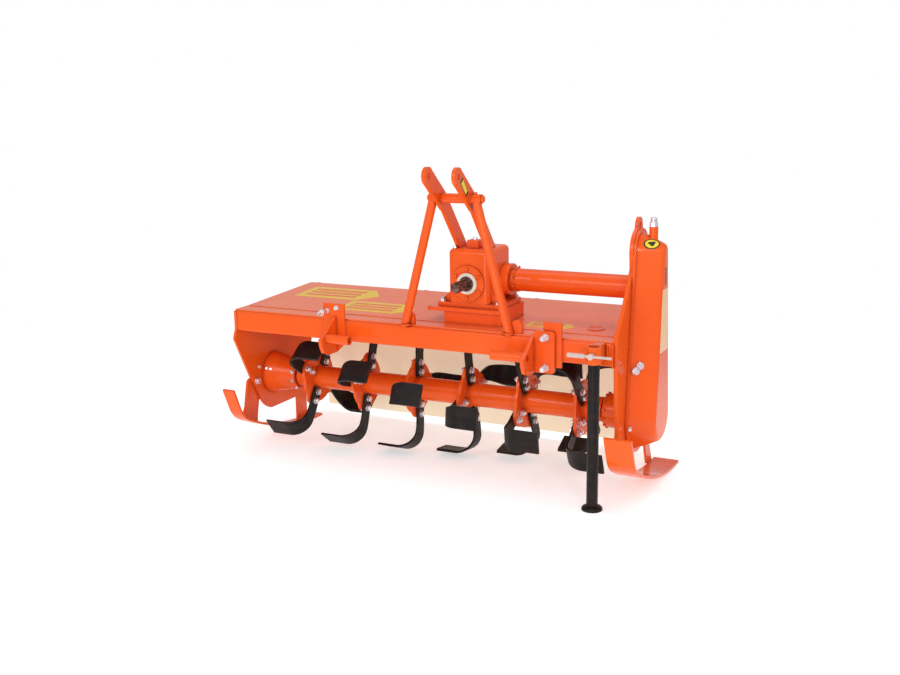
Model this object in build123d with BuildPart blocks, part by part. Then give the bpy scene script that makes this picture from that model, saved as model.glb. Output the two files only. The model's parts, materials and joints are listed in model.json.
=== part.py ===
from build123d import *
from math import cos, radians, sin
import os

# A tractor-mounted rotary tiller, in millimetres. +X runs along the rotor towards the gear case,
# -Y is the side that faces the tractor, +Z is up. The origin is on the floor, at the middle of the
# machine's overall length and depth, and the rotor's axis is straight above it.

os.makedirs("parts", exist_ok=True)

# --- driving dimensions -------------------------------------------------------------------------
rotor_height = 236.0  # rotor axis above the floor
swing_radius = 228.0  # out to the blades' leading corners
station_first = -525.0  # flange that is furthest from the gear case
station_pitch = 203.0
station_count = 6
flange_thickness = 10.0
rotor_tube_radius = 40.0

left_outer = -726.0  # outer face of the left side plate
left_inner = left_outer + 8.0
right_inner = 652.0  # inner face of the plate that carries the gear case
right_outer = right_inner + 12.0
case_outer = 748.0

beam_front = -212.0
beam_depth = 80.0
beam_height = 70.0
beam_wall = 6.0
beam_top = rotor_height + 266.0
beam_bottom = beam_top - beam_height
beam_back = beam_front + beam_depth

sheet = 5.0  # thickness of the deck
deck_start = beam_front + 10
lip_radius = 4.0  # rounds the deck's front edge, on top of the beam
deck_rear = 281.0
deck_rise = 18.0  # the deck climbs this much from the beam to its rear edge
deck_lip = 28.0
deck_back = beam_top + deck_rise

drive_x = 139.0  # input shaft, along the machine
drive_height = rotor_height + 404.0  # input shaft and side tube above the floor
side_tube_radius = 36.5

hinge_y = 298.0
hinge_height = beam_top + 8.0
hinge_rod_radius = 6.0

stand_x = 613.0
stand_y = -270.0
leg_radius = 17.5
fit = 0.08  # radial play of a pin or shaft in its bore


def finish(piece, name):
    piece.part.label = name
    export_step(piece.part, f"parts/{name}.step")


# --- frame --------------------------------------------------------------------------------------
beam_middle = (beam_front + beam_depth / 2, beam_top - beam_height / 2)
with BuildPart() as front_beam:
    with BuildSketch(Plane.YZ.offset(left_inner)):
        with Locations(beam_middle):
            RectangleRounded(beam_depth, beam_height, 8)
            RectangleRounded(
                beam_depth - 2 * beam_wall, beam_height - 2 * beam_wall, 3, mode=Mode.SUBTRACT
            )
    extrude(amount=right_inner - left_inner)
finish(front_beam, "front_beam")

with BuildPart() as deck_sheet:
    with BuildSketch(Plane.YZ.offset(left_outer)):
        with BuildLine():
            front_lip = RadiusArc(
                (deck_start, beam_top + sheet - lip_radius),
                (deck_start + lip_radius, beam_top + sheet),
                lip_radius,
            )
            Polyline(
                front_lip @ 1,
                (beam_back, beam_top + sheet),
                (deck_rear, deck_back + sheet),
                (deck_rear, deck_back - deck_lip),
                (deck_rear - sheet, deck_back - deck_lip),
                (deck_rear - sheet, deck_back),
                (beam_back, beam_top),
                (deck_start, beam_top),
                front_lip @ 0,
            )
        make_face()
    extrude(amount=right_inner - left_outer)
finish(deck_sheet, "deck_sheet")

# Left side plate: its top follows the underside of the deck, its front edge leans back under the
# beam, and a rounded corner leads into a level foot.
plate_foot = rotor_height - 132
plate_rear = deck_rear - sheet
with BuildPart() as left_side_plate:
    with BuildSketch(Plane.YZ.offset(left_outer)):
        with BuildLine():
            front_edge = Polyline(
                (beam_back, beam_top),
                (beam_front, beam_top),
                (beam_front, beam_bottom + 6),
                (beam_front - 14, beam_bottom - 28),
                (-142, rotor_height + 4),
                (-100, rotor_height - 63),
            )
            corner = ThreePointArc(front_edge @ 1, (-66, rotor_height - 112), (-28, plate_foot))
            Polyline(
                corner @ 1,
                (216, plate_foot),
                (236, rotor_height - 70),
                (plate_rear, deck_back - 70),
                (plate_rear, deck_back),
                (beam_back, beam_top),
            )
        make_face()
    extrude(amount=left_inner - left_outer)
finish(left_side_plate, "left_side_plate")

# Left bearing: a long cone inside the plate, a round cap outside it.
stub_radius = 22.0
hub_depth = 118.0
hub_base_radius = 76.0
hub_nose_radius = 47.0
with BuildPart() as left_bearing_hub:
    with BuildSketch(Plane.XZ):
        with BuildLine():
            Polyline(
                (left_inner, rotor_height + stub_radius + fit),
                (left_inner, rotor_height + hub_base_radius),
                (left_inner + 12, rotor_height + hub_base_radius),
                (left_inner + hub_depth - 12, rotor_height + hub_nose_radius + 4),
                (left_inner + hub_depth, rotor_height + hub_nose_radius),
                (left_inner + hub_depth, rotor_height + stub_radius + fit),
                close=True,
            )
        make_face()
    revolve(axis=Axis((0, 0, rotor_height), (1, 0, 0)))
finish(left_bearing_hub, "left_bearing_hub")

cap_radius = 58.0
cap_depth = 22.0
with BuildPart() as left_bearing_cap:
    with BuildSketch(Plane.YZ.offset(left_outer)):
        with Locations((0, rotor_height)):
            Circle(cap_radius)
    extrude(amount=-cap_depth)
    fillet(left_bearing_cap.faces().sort_by(Axis.X)[0].edges(), 8)
finish(left_bearing_cap, "left_bearing_cap")

# --- gear case ----------------------------------------------------------------------------------
# The case is a pressed dish: round about the rotor below and about the side tube's gear above, and
# drawn in towards its outer face.
case_top = rotor_height + 580.0
case_top_radius = 60.0
case_foot_radius = 115.0
case_inset = 39.0  # how far the outer face lies inside the foot of the wall
case_rounding = 16.0
case_flange = 8.0  # width and thickness of the rim that is bolted to the carrier plate
breather_x = right_outer + 42
boss_top = case_top + 14
boss_radius = 13.5


def case_section(x, margin):
    with BuildSketch(Plane.YZ.offset(x)) as section:
        with Locations((0, rotor_height)):
            Circle(case_foot_radius + margin)
        with Locations((0, case_top - case_top_radius)):
            Circle(case_top_radius + margin)
        make_hull()
    return section.sketch


case_foot = case_section(right_outer, 0)
case_face = case_section(case_outer, -case_inset)
case_rim = case_section(right_outer, case_flange)
with BuildPart() as gear_case:
    loft([case_foot, case_face], ruled=True)
    fillet(gear_case.faces().sort_by(Axis.X)[-1].edges(), case_rounding)
    extrude(case_rim, amount=case_flange)
    with BuildSketch(Plane.XY.offset(case_top - case_top_radius)):
        with Locations((breather_x, 0)):
            Circle(boss_radius)
    extrude(amount=boss_top - case_top + case_top_radius)
finish(gear_case, "gear_case")

# The carrier plate follows the case's rim at the top, spreads out to the deck and the beam, and
# reaches down beside the rotor.
carrier_margin = case_flange + 3
carrier_foot_radius = case_foot_radius + carrier_margin
carrier_top_radius = case_top_radius + carrier_margin
carrier_front = (
    # y, height above the rotor's axis
    (-133, -61), (-181, -32), (-200, 120), (-208, 282), (-175, 320), (-140, 359), (-65, 470),
)
with BuildPart() as right_side_plate:
    with BuildSketch(Plane.YZ.offset(right_inner)):
        with BuildLine():
            Polyline(
                (0, rotor_height),
                (-70, rotor_height - 98),
                *[(y, rotor_height + above) for y, above in carrier_front],
                (-carrier_top_radius, case_top - case_top_radius),
                (carrier_top_radius, case_top - case_top_radius),
                (plate_rear, deck_back + 30),
                (plate_rear, deck_back - 70),
                (carrier_foot_radius, rotor_height),
                close=True,
            )
        make_face()
        with Locations((0, rotor_height)):
            Circle(carrier_foot_radius)
        with Locations((0, case_top - case_top_radius)):
            Circle(carrier_top_radius)
    extrude(amount=right_outer - right_inner)
finish(right_side_plate, "right_side_plate")

# Lifting eye: a tongue on the carrier plate's inner face.
eye_y = 40.0
eye_height = case_top + 12
eye_radius = 26.0
eye_half = 45.0
eye_foot = case_top - 38
eye_thickness = 10.0
with BuildPart() as lifting_eye:
    with BuildSketch(Plane.YZ.offset(right_inner - eye_thickness)):
        with BuildLine():
            Polyline(
                (eye_y - eye_half, eye_foot),
                (eye_y - eye_radius, eye_height),
                (eye_y + eye_radius, eye_height),
                (eye_y + eye_half, eye_foot),
                close=True,
            )
        make_face()
        with Locations((eye_y, eye_height)):
            Circle(eye_radius)
            Circle(11, mode=Mode.SUBTRACT)
    extrude(amount=eye_thickness)
finish(lifting_eye, "lifting_eye")

nut_height = 14.0
with BuildPart() as case_breather:
    with BuildSketch(Plane.XY.offset(boss_top)):
        with Locations((breather_x, 0)):
            RegularPolygon(13, 6)
    extrude(amount=nut_height)
    with BuildSketch(Plane.XY.offset(boss_top + nut_height)):
        with Locations((breather_x, 0)):
            Circle(10)
    extrude(amount=nut_height)
    fillet(case_breather.faces().sort_by(Axis.Z)[-1].edges(), 3)
finish(case_breather, "case_breather")

# --- skids --------------------------------------------------------------------------------------
# One runner profile: a short flat at the rear, one long curve, and a nose that turns up.
runner_thickness = 8.0
sole_z = runner_thickness / 2
with BuildLine() as runner_path:
    sole = Line((262, sole_z), (240, sole_z))
    sweep_up = JernArc(start=sole @ 1, tangent=(-1, 0), radius=1000, arc_size=-26.4)
    turn_up = JernArc(start=sweep_up @ 1, tangent=sweep_up % 1, radius=110, arc_size=-40.6)
    nose = Line(turn_up @ 1, (turn_up @ 1) + (turn_up % 1) * 78)
runner_line = runner_path.line

skid_reach = 700.0  # longer than any skid, for cutting
strut_thickness = 8.0
strut_top = rotor_height + 4
with BuildSketch() as below_runner:
    with BuildLine():
        add(runner_line)
        Polyline(
            nose @ 1,
            (-skid_reach, rotor_height),
            (-skid_reach, -skid_reach),
            (skid_reach, -skid_reach),
            (skid_reach, sole_z),
            sole @ 0,
        )
    make_face()
    with BuildLine():
        add(runner_line)
    trace(line_width=runner_thickness)
front_strut = (
    (-186, 0), (-186, 120), (-174, rotor_height - 94), (-154, rotor_height - 4), (-142, strut_top),
    (-80, strut_top), (-91, rotor_height - 83), (-105, rotor_height - 141), (-112, 0),
)
left_rear_strut = ((150, 0), (150, plate_foot + 32), (215, plate_foot + 32), (215, 0))
right_rear_strut = ((184, 0), (74, rotor_height + 30), (120, rotor_height + 30), (236, 0))
skids = (
    # name, runner's left face, its width, struts' left face, outline of the rear strut
    ("left", left_outer - strut_thickness, 47.0, left_outer - strut_thickness, left_rear_strut),
    ("right", right_inner, 86.0, right_inner - strut_thickness, right_rear_strut),
)
for name, runner_left, runner_width, struts_left, rear_strut in skids:
    with BuildPart() as runner:
        with BuildSketch(Plane.YZ.offset(runner_left)):
            with BuildLine():
                add(runner_line)
            trace(line_width=runner_thickness)
        extrude(amount=runner_width)
    finish(runner, f"{name}_skid_runner")
    with BuildPart() as skid_struts:
        with BuildSketch(Plane.YZ.offset(struts_left)):
            for outline in (front_strut, rear_strut):
                with BuildLine():
                    Polyline(*outline, close=True)
                make_face()
            add(below_runner.sketch, mode=Mode.SUBTRACT)
        extrude(amount=strut_thickness)
    finish(skid_struts, f"{name}_skid_struts")

# --- gearbox and drive --------------------------------------------------------------------------
base_height = rotor_height + 312
base_plate_thickness = 12.0
base_plate_width = 260.0
pedestal_left = 56.0
pedestal_right = 258.0
pedestal_front = -134.0
pedestal_back = 50.0
pedestal_middle = (pedestal_front + pedestal_back) / 2
deck_at_pedestal = (
    beam_top + sheet + deck_rise * (pedestal_back - beam_back) / (deck_rear - beam_back)
)
with BuildPart() as gearbox_pedestal:
    with BuildSketch(Plane.YZ.offset(pedestal_left)):
        with BuildLine():
            Polyline(
                (pedestal_front, beam_top + sheet),
                (beam_back, beam_top + sheet),
                (pedestal_back, deck_at_pedestal),
                (pedestal_back, base_height),
                (pedestal_front, base_height),
                close=True,
            )
        make_face()
    extrude(amount=pedestal_right - pedestal_left)
    with BuildSketch(Plane.XY.offset(base_height)):
        with Locations((pedestal_right - base_plate_width / 2, pedestal_middle)):
            RectangleRounded(base_plate_width, 206, 10)
    extrude(amount=base_plate_thickness)
finish(gearbox_pedestal, "gearbox_pedestal")

gearbox_front = -124.0
gearbox_back = 50.0
gearbox_width = 146.0
gearbox_top = rotor_height + 512
gearbox_mid = (gearbox_front + gearbox_back) / 2
foot_height = base_height + base_plate_thickness
foot_thickness = 14.0
foot_width = 226.0
gusset_reach = 34.0
gusset_places = (gearbox_front + 30, gearbox_back - 20)  # their rear faces
foot_top = foot_height + foot_thickness
shaft_radius = 17.4
journal_radius = 19.0
with BuildPart() as gearbox_housing:
    with BuildSketch(Plane.XY.offset(foot_top)):
        with Locations((drive_x, gearbox_mid)):
            RectangleRounded(gearbox_width, gearbox_back - gearbox_front, 20)
    extrude(amount=gearbox_top - foot_top)
    fillet(gearbox_housing.faces().sort_by(Axis.Z)[-1].edges(), 16)
    with BuildSketch(Plane.XY.offset(foot_height)):
        with Locations((drive_x, gearbox_mid)):
            RectangleRounded(foot_width, 176, 12)
    extrude(amount=foot_thickness)
    for gusset_y in gusset_places:
        with BuildSketch(Plane.XZ.offset(-gusset_y)):
            with BuildLine():
                Polyline(
                    (drive_x - gearbox_width / 2 - gusset_reach, foot_top),
                    (drive_x - gearbox_width / 2, foot_top + gusset_reach),
                    (drive_x + gearbox_width / 2, foot_top + gusset_reach),
                    (drive_x + gearbox_width / 2 + gusset_reach, foot_top),
                    close=True,
                )
            make_face()
        extrude(amount=10)
    with BuildSketch(Plane.YZ.offset(drive_x + gearbox_width / 2 - 4)):
        with Locations((0, drive_height)):
            Circle(side_tube_radius + 15)
    extrude(amount=34)
    with BuildSketch(Plane.XZ.offset(-gearbox_front)):
        with Locations((drive_x, drive_height)):
            Circle(journal_radius + fit)
    extrude(amount=-60, mode=Mode.SUBTRACT)
finish(gearbox_housing, "gearbox_housing")

with BuildPart() as gearbox_lid:
    with BuildSketch(Plane.XY.offset(gearbox_top)):
        with Locations((drive_x, -69)):
            RectangleRounded(42, 46, 6)
    extrude(amount=26)
    fillet(gearbox_lid.faces().sort_by(Axis.Z)[-1].edges(), 4)
finish(gearbox_lid, "gearbox_lid")

cap_thickness = 8.0
seal_thickness = 7.0
collar_radius = 24.0
shaft_rings = (
    # node, outer radius, distance in front of the gearbox, thickness
    ("input_cap", 57.0, 0.0, cap_thickness),
    ("input_seal", 34.0, cap_thickness, seal_thickness),
)
for name, ring_radius, ring_start, ring_thickness in shaft_rings:
    with BuildPart() as shaft_ring:
        with BuildSketch(Plane.XZ.offset(-gearbox_front + ring_start)):
            with Locations((drive_x, drive_height)):
                Circle(ring_radius)
                Circle(journal_radius + fit, mode=Mode.SUBTRACT)
        extrude(amount=ring_thickness)
    finish(shaft_ring, name)

spline_length = 76.0
spline_start = 20.0  # in front of the gearbox
spline_count = 6
spline_depth = 2.95
spline_gap = 9.2
collar_gap = 0.5
collar_start = cap_thickness + seal_thickness + collar_gap
journal_depth = 56.0  # inside the gearbox
with BuildPart() as input_shaft:
    with BuildSketch(Plane.XZ.offset(-gearbox_front + spline_start)):
        with Locations((drive_x, drive_height)):
            Circle(shaft_radius)
    extrude(amount=spline_length)
    with BuildSketch(Plane.XZ.offset(-gearbox_front + spline_start)):
        with Locations((drive_x, drive_height)):
            with PolarLocations(shaft_radius, spline_count):
                Rectangle(2 * spline_depth, spline_gap)
    extrude(amount=spline_length, mode=Mode.SUBTRACT)
    with BuildSketch(Plane.XZ.offset(-gearbox_front - journal_depth)):
        with Locations((drive_x, drive_height)):
            Circle(journal_radius)
    extrude(amount=journal_depth + spline_start)
    with BuildSketch(Plane.XZ.offset(-gearbox_front + collar_start)):
        with Locations((drive_x, drive_height)):
            Circle(collar_radius)
    extrude(amount=spline_start - collar_start)
finish(input_shaft, "input_shaft")

tube_start = drive_x + gearbox_width / 2 + 30
tube_flange = 14.0
with BuildPart() as side_tube:
    with BuildSketch(Plane.YZ.offset(tube_start)):
        with Locations((0, drive_height)):
            Circle(side_tube_radius)
    extrude(amount=right_inner - tube_start)
    with BuildSketch(Plane.YZ.offset(right_inner - tube_flange)):
        with Locations((0, drive_height)):
            Circle(side_tube_radius + 10)
    extrude(amount=tube_flange)
finish(side_tube, "side_tube")

# --- mast ---------------------------------------------------------------------------------------
# Two bars lean forward from the gearbox to the top link, with a slight knee, and a tube crosses
# them above it.
bar_offset = 50.0  # mast bars, each side of the input shaft
bar_thickness = 12.0
cross_y = -215.0
cross_height = rotor_height + 683
cross_radius = 15.0
with BuildPart() as mast_cross_tube:
    with BuildSketch(Plane.YZ.offset(drive_x - bar_offset - 33)):
        with Locations((cross_y, cross_height)):
            Circle(cross_radius)
    extrude(amount=2 * bar_offset + 74)
finish(mast_cross_tube, "mast_cross_tube")

tip_y = -300.0
tip_height = rotor_height + 756
tip_radius = 28.0
link_hole_radius = 9.75
knee_y = -190.0
knee_height = rotor_height + 665
arm_width = 54.0  # above the knee
bar_width = 46.0  # below it
knee_radius = 24.0
foot_y = -47.0  # this end of the bar's middle line lies inside the gearbox
foot_z = rotor_height + 494
for side, name in ((-1, "mast_bar_left"), (1, "mast_bar_right")):
    with BuildPart() as mast_bar:
        with BuildSketch(Plane.YZ.offset(drive_x + side * bar_offset - bar_thickness / 2)):
            with BuildLine():
                Line((tip_y, tip_height), (knee_y, knee_height))
            trace(line_width=arm_width)
            with BuildLine():
                Line((knee_y, knee_height), (foot_y, foot_z))
            trace(line_width=bar_width)
            with Locations((knee_y, knee_height)):
                Circle(knee_radius)
            with Locations((tip_y, tip_height)):
                Circle(tip_radius)
                Circle(link_hole_radius, mode=Mode.SUBTRACT)
        extrude(amount=bar_thickness)
        add(mast_cross_tube.part, mode=Mode.SUBTRACT)
        add(gearbox_housing.part, mode=Mode.SUBTRACT)
    finish(mast_bar, name)

# Struts run from the tube's ends to the front of the beam, each beside a small lug.
lug_y = -196.0
lug_thickness = 12.0
lug_radius = 20.0
lug_shift = 16.0  # from the strut's foot to the middle of its lug
strut_radius = 14.0
strut_foot_y = -200.0
struts = (
    # name, x at the cross tube, x at the foot
    ("left", drive_x - bar_offset - 23, -58.0),
    ("right", drive_x + bar_offset + 21, 318.0),
)
for name, strut_top_x, strut_foot_x in struts:
    with BuildPart() as lug:
        with BuildSketch(Plane.XZ.offset(-lug_y)):
            with Locations((strut_foot_x + lug_shift, beam_top + 13)):
                Rectangle(2 * lug_radius, 26)
            with Locations((strut_foot_x + lug_shift, beam_top + 26)):
                Circle(lug_radius)
        extrude(amount=-lug_thickness)
        add(deck_sheet.part, mode=Mode.SUBTRACT)
    finish(lug, f"strut_lug_{name}")
    top = Vector(strut_top_x, cross_y, cross_height)
    foot = Vector(strut_foot_x, strut_foot_y, beam_top - 16)
    axis = foot - top
    with BuildPart() as strut:
        with BuildSketch(Plane(origin=top, z_dir=axis)):
            Circle(strut_radius)
        extrude(amount=axis.length)
        with BuildSketch(Plane.XY.offset(beam_top - beam_wall + 1)):
            with Locations((strut_foot_x, strut_foot_y)):
                Rectangle(4 * strut_radius, 4 * strut_radius)
        extrude(amount=-40, mode=Mode.SUBTRACT)
        add(front_beam.part, mode=Mode.SUBTRACT)
        add(deck_sheet.part, mode=Mode.SUBTRACT)
        add(mast_cross_tube.part, mode=Mode.SUBTRACT)
        add(lug.part, mode=Mode.SUBTRACT)
    finish(strut, f"mast_strut_{name}")

# --- lower-link brackets ------------------------------------------------------------------------
# At each side a deep lug stands square to the beam, with a sleeve through its lower front. The
# left one stands on a base plate. The right one stands on the beam, beside a base plate of its own
# with a strap in front.
base_thickness = 8.0
strap_thickness = 10.0
strap_width = 66.0
strap_height = 131.0
strap_middle = rotor_height + 227.5
base_front = beam_front - base_thickness
lug_width = 12.0
sleeve_y = -280.0
sleeve_height = rotor_height + 217
sleeve_radius = 15.0
link_pin_radius = 11.2
lug_bottom = rotor_height + 160
lug_top = rotor_height + 282
left_base = ((-352, 157), (-308, 157), (-271, 190), (-271, 323), (-352, 323))
right_base = ((434, 180), (493, 180), (493, 319), (434, 319))
brackets = (
    # name, lug's left face, y of its back, side the sleeve is on, its length, has a strap,
    # outline of the base plate as x and height above the rotor's axis
    ("left", -314.0, base_front, 1, 86.0, False, left_base),
    ("right", 396.0, beam_front, -1, 108.0, True, right_base),
)
for name, lug_left, lug_back, side, sleeve_length, has_strap, base_outline in brackets:
    lug_right = lug_left + lug_width
    sleeve_left = lug_right if side > 0 else lug_left - sleeve_length
    with BuildPart() as bracket:
        with BuildSketch(Plane.YZ.offset(lug_left)):
            with BuildLine():
                Polyline(
                    (lug_back, lug_top),
                    (base_front - 2, lug_top),
                    (-280, rotor_height + 237),
                    (-316, sleeve_height),
                    (-312, rotor_height + 197),
                    (-300, rotor_height + 172),
                    (-270, lug_bottom),
                    (lug_back, lug_bottom),
                    close=True,
                )
            make_face()
        extrude(amount=lug_width)
        with BuildSketch(Plane.YZ.offset(sleeve_left)):
            with Locations((sleeve_y, sleeve_height)):
                Circle(sleeve_radius)
        extrude(amount=sleeve_length)
        if has_strap:
            with BuildSketch(Plane.XZ.offset(-base_front)):
                with Locations((lug_right + strap_width / 2, strap_middle)):
                    RectangleRounded(strap_width, strap_height, 10)
            extrude(amount=strap_thickness)
        with BuildSketch(Plane.YZ.offset(min(lug_left, sleeve_left))):
            with Locations((sleeve_y, sleeve_height)):
                Circle(link_pin_radius)
        extrude(amount=sleeve_length + lug_width, mode=Mode.SUBTRACT)
    finish(bracket, f"link_bracket_{name}")
    with BuildPart() as base_plate:
        with BuildSketch(Plane.XZ.offset(-beam_front)):
            with BuildLine():
                Polyline(*[(x, rotor_height + above) for x, above in base_outline], close=True)
            make_face()
        extrude(amount=base_thickness)
    finish(base_plate, f"link_base_plate_{name}")

# --- parking stand ------------------------------------------------------------------------------
socket_bottom = rotor_height + 217
socket_top = rotor_height + 270
socket_radius = 21.0
with BuildPart() as stand_socket:
    with BuildSketch(Plane.XY.offset(socket_bottom)):
        with Locations((stand_x, (stand_y + beam_front) / 2)):
            Rectangle(30, beam_front - stand_y)
        with Locations((stand_x, stand_y)):
            Circle(socket_radius)
            Circle(leg_radius + 0.1, mode=Mode.SUBTRACT)
    extrude(amount=socket_top - socket_bottom)
finish(stand_socket, "stand_socket")

leg_top = socket_top - 8
leg_wall = 3.0
foot_radius = 32.0
foot_disc = 12.0
with BuildPart() as stand_leg:
    with BuildSketch(Plane.XY):
        with Locations((stand_x, stand_y)):
            Circle(foot_radius)
    extrude(amount=foot_disc)
    fillet(stand_leg.faces().sort_by(Axis.Z)[-1].edges(), 9)
    with BuildSketch(Plane.XY.offset(foot_disc)):
        with Locations((stand_x, stand_y)):
            Circle(leg_radius)
            Circle(leg_radius - leg_wall, mode=Mode.SUBTRACT)
    extrude(amount=leg_top - foot_disc)
finish(stand_leg, "stand_leg")

clamp_height = rotor_height + 245
tee_radius = 4.0
grip_radius = 7.0
grip_length = 52.0
tee_y = stand_y - socket_radius - 9
tee_left = stand_x - 71
with BuildPart() as stand_clamp:
    with BuildSketch(Plane.XZ.offset(-stand_y + socket_radius - 1)):
        with Locations((stand_x, clamp_height)):
            Circle(9)
    extrude(amount=16)
    with BuildSketch(Plane.YZ.offset(tee_left)):
        with Locations((tee_y, clamp_height)):
            Circle(tee_radius)
    extrude(amount=134)
    with BuildSketch(Plane.YZ.offset(tee_left)):
        with Locations((tee_y, clamp_height)):
            Circle(grip_radius)
    extrude(amount=grip_length)
    add(stand_socket.part, mode=Mode.SUBTRACT)
finish(stand_clamp, "stand_clamp")

# --- trailing board -----------------------------------------------------------------------------
hinge_start = left_inner + 10
hinge_end = right_inner - 10
hinge_lug_width = 12.0
lug_positions = (hinge_start, -240.0, 200.0, hinge_end - hinge_lug_width)
with BuildPart() as board_hinge_lugs:
    for lug_x in lug_positions:
        with BuildSketch(Plane.YZ.offset(lug_x)):
            with Locations((hinge_y, hinge_height)):
                Circle(13)
            with Locations(((hinge_y + deck_rear) / 2, hinge_height)):
                Rectangle(hinge_y - deck_rear, 26)
            with Locations((hinge_y, hinge_height)):
                Circle(hinge_rod_radius, mode=Mode.SUBTRACT)
        extrude(amount=hinge_lug_width)
finish(board_hinge_lugs, "board_hinge_lugs")

with BuildPart() as hinge_rod:
    with BuildSketch(Plane.YZ.offset(hinge_start)):
        with Locations((hinge_y, hinge_height)):
            Circle(hinge_rod_radius)
    extrude(amount=hinge_end - hinge_start)
finish(hinge_rod, "hinge_rod")

board_sheet = 4.0
knuckle_radius = 11.0
board_edge_y = 326.0
board_fold_height = rotor_height - 58
board_edge_height = rotor_height - 204
knuckle_spans = [
    (left + hinge_lug_width + 3, right - 3) for left, right in zip(lug_positions, lug_positions[1:])
]
with BuildPart() as trailing_board:
    with BuildSketch(Plane.YZ.offset(knuckle_spans[0][0])):
        with BuildLine():
            Polyline(
                (hinge_y + 8, hinge_height - 22),
                (board_edge_y, board_fold_height),
                (board_edge_y, board_edge_height),
            )
        trace(line_width=board_sheet)
    extrude(amount=knuckle_spans[-1][1] - knuckle_spans[0][0])
    for start, end in knuckle_spans:
        with BuildSketch(Plane.YZ.offset(start)):
            with Locations((hinge_y, hinge_height)):
                Circle(knuckle_radius)
            with BuildLine():
                Line((hinge_y + 4, hinge_height - 6), (hinge_y + 8, hinge_height - 24))
            trace(line_width=board_sheet)
            with Locations((hinge_y, hinge_height)):
                Circle(hinge_rod_radius + fit, mode=Mode.SUBTRACT)
        extrude(amount=end - start)
finish(trailing_board, "trailing_board")

# --- rotor --------------------------------------------------------------------------------------
boss_depth = 88.0
boss_left = right_inner - boss_depth
boss_base_radius = 62.0
boss_nose_radius = 54.0
with BuildPart() as right_bearing_boss:
    with BuildSketch(Plane.XZ):
        with BuildLine():
            Polyline(
                (right_inner, rotor_height + stub_radius + fit),
                (right_inner, rotor_height + boss_base_radius),
                (boss_left + 8, rotor_height + boss_nose_radius),
                (boss_left, rotor_height + boss_nose_radius - 8),
                (boss_left, rotor_height + stub_radius + fit),
                close=True,
            )
        make_face()
    revolve(axis=Axis((0, 0, rotor_height), (1, 0, 0)))
finish(right_bearing_boss, "right_bearing_boss")

bearing_gap = 6.0
tube_left = left_inner + hub_depth + bearing_gap
tube_right = boss_left - bearing_gap
stub_left = left_inner + 4
stub_right = right_inner - 2
with BuildPart() as rotor_tube:
    with BuildSketch(Plane.YZ.offset(tube_left)):
        with Locations((0, rotor_height)):
            Circle(rotor_tube_radius)
    extrude(amount=tube_right - tube_left)
    with BuildSketch(Plane.YZ.offset(stub_left)):
        with Locations((0, rotor_height)):
            Circle(stub_radius)
    extrude(amount=stub_right - stub_left)
finish(rotor_tube, "rotor_tube")

# A blade in its own frame: the root runs along +X, the blade trails towards +Y on a left-hand blade
# and -Y on a right-hand one, and its tip is bent to +Z. The root lies on the far side of the
# flange, so the bend passes over the flange's rim. The tip plate lies square to a direction that
# leans back from the root by tip_lean.
tip_lean = 21.0
lead_angle = 0.0  # the leading corner, seen from the rotor's axis
tip_width = 76.0
tip_reach = 124.0  # sideways, from the middle of the flange
bend_radius = 62.0
blade_thickness = 8.0
shank_half = 22.0
root_start = 45.0
root_side = -(flange_thickness + blade_thickness) / 2
blade_span = 500.0  # longer than any blade, for cutting
tip_distance = swing_radius * cos(radians(tip_lean - lead_angle))
tip_lead = swing_radius * sin(radians(tip_lean - lead_angle))


def make_blade(hand):
    outward = Vector(cos(radians(tip_lean)), hand * sin(radians(tip_lean)), 0)
    along = Vector(-sin(radians(tip_lean)), hand * cos(radians(tip_lean)), 0)
    lead_corner = outward * tip_distance - along * tip_lead
    trail_corner = lead_corner + along * tip_width
    lead_bend = Vector(120, -hand * shank_half)  # where the shank's edges start to curve back
    trail_bend = Vector(112, hand * shank_half)
    beyond = outward * 8
    with BuildPart() as blade:
        with BuildSketch(Plane(origin=along * -200, x_dir=outward, z_dir=along * -hand)):
            with BuildLine():
                FilletPolyline(
                    (0, root_side),
                    (tip_distance - blade_thickness / 2, root_side),
                    (tip_distance - blade_thickness / 2, tip_reach),
                    radius=bend_radius,
                )
            trace(line_width=blade_thickness)
        extrude(amount=-hand * blade_span)
        with BuildSketch(Plane.XY.offset(root_side - blade_thickness)):
            with BuildLine():
                Polyline(trail_corner, trail_corner + beyond, lead_corner + beyond, lead_corner)
                TangentArc(lead_bend, lead_corner, tangent=(1, 0))
                Polyline(
                    lead_bend, (root_start, -hand * shank_half), (root_start, hand * shank_half),
                    trail_bend,
                )
                TangentArc(trail_bend, trail_corner, tangent=(1, 0))
            make_face()
        extrude(amount=blade_span, mode=Mode.INTERSECT)
    return blade.part


blade_left_hand = make_blade(1)
blade_right_hand = make_blade(-1)

first_angle = -45.0  # right-hand tip of the first station, below the horizontal in front
station_turn = 15.0
root_lead = 14.0  # a blade's root runs this much ahead of the middle of its tip
stations = [
    (station_first + i * station_pitch, first_angle + i * station_turn + root_lead)
    for i in range(station_count)
]


def root_direction(angle):
    return Vector(0, -cos(radians(angle)), -sin(radians(angle)))


flange_radius = 90.0
lobe_centre = 62.0
lobe_radius = 44.0
with BuildPart() as rotor_flanges:
    for station_x, root_angle in stations:
        with BuildSketch(Plane.YZ.offset(station_x - flange_thickness / 2)):
            with Locations((0, rotor_height)):
                Circle(flange_radius)
                with Locations([Location((0, 0), 180 + root_angle + 90 * k) for k in range(4)]):
                    with Locations((lobe_centre, 0)):
                        Circle(lobe_radius)
                Circle(rotor_tube_radius, mode=Mode.SUBTRACT)
        extrude(amount=flange_thickness)
finish(rotor_flanges, "rotor_flanges")

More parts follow.
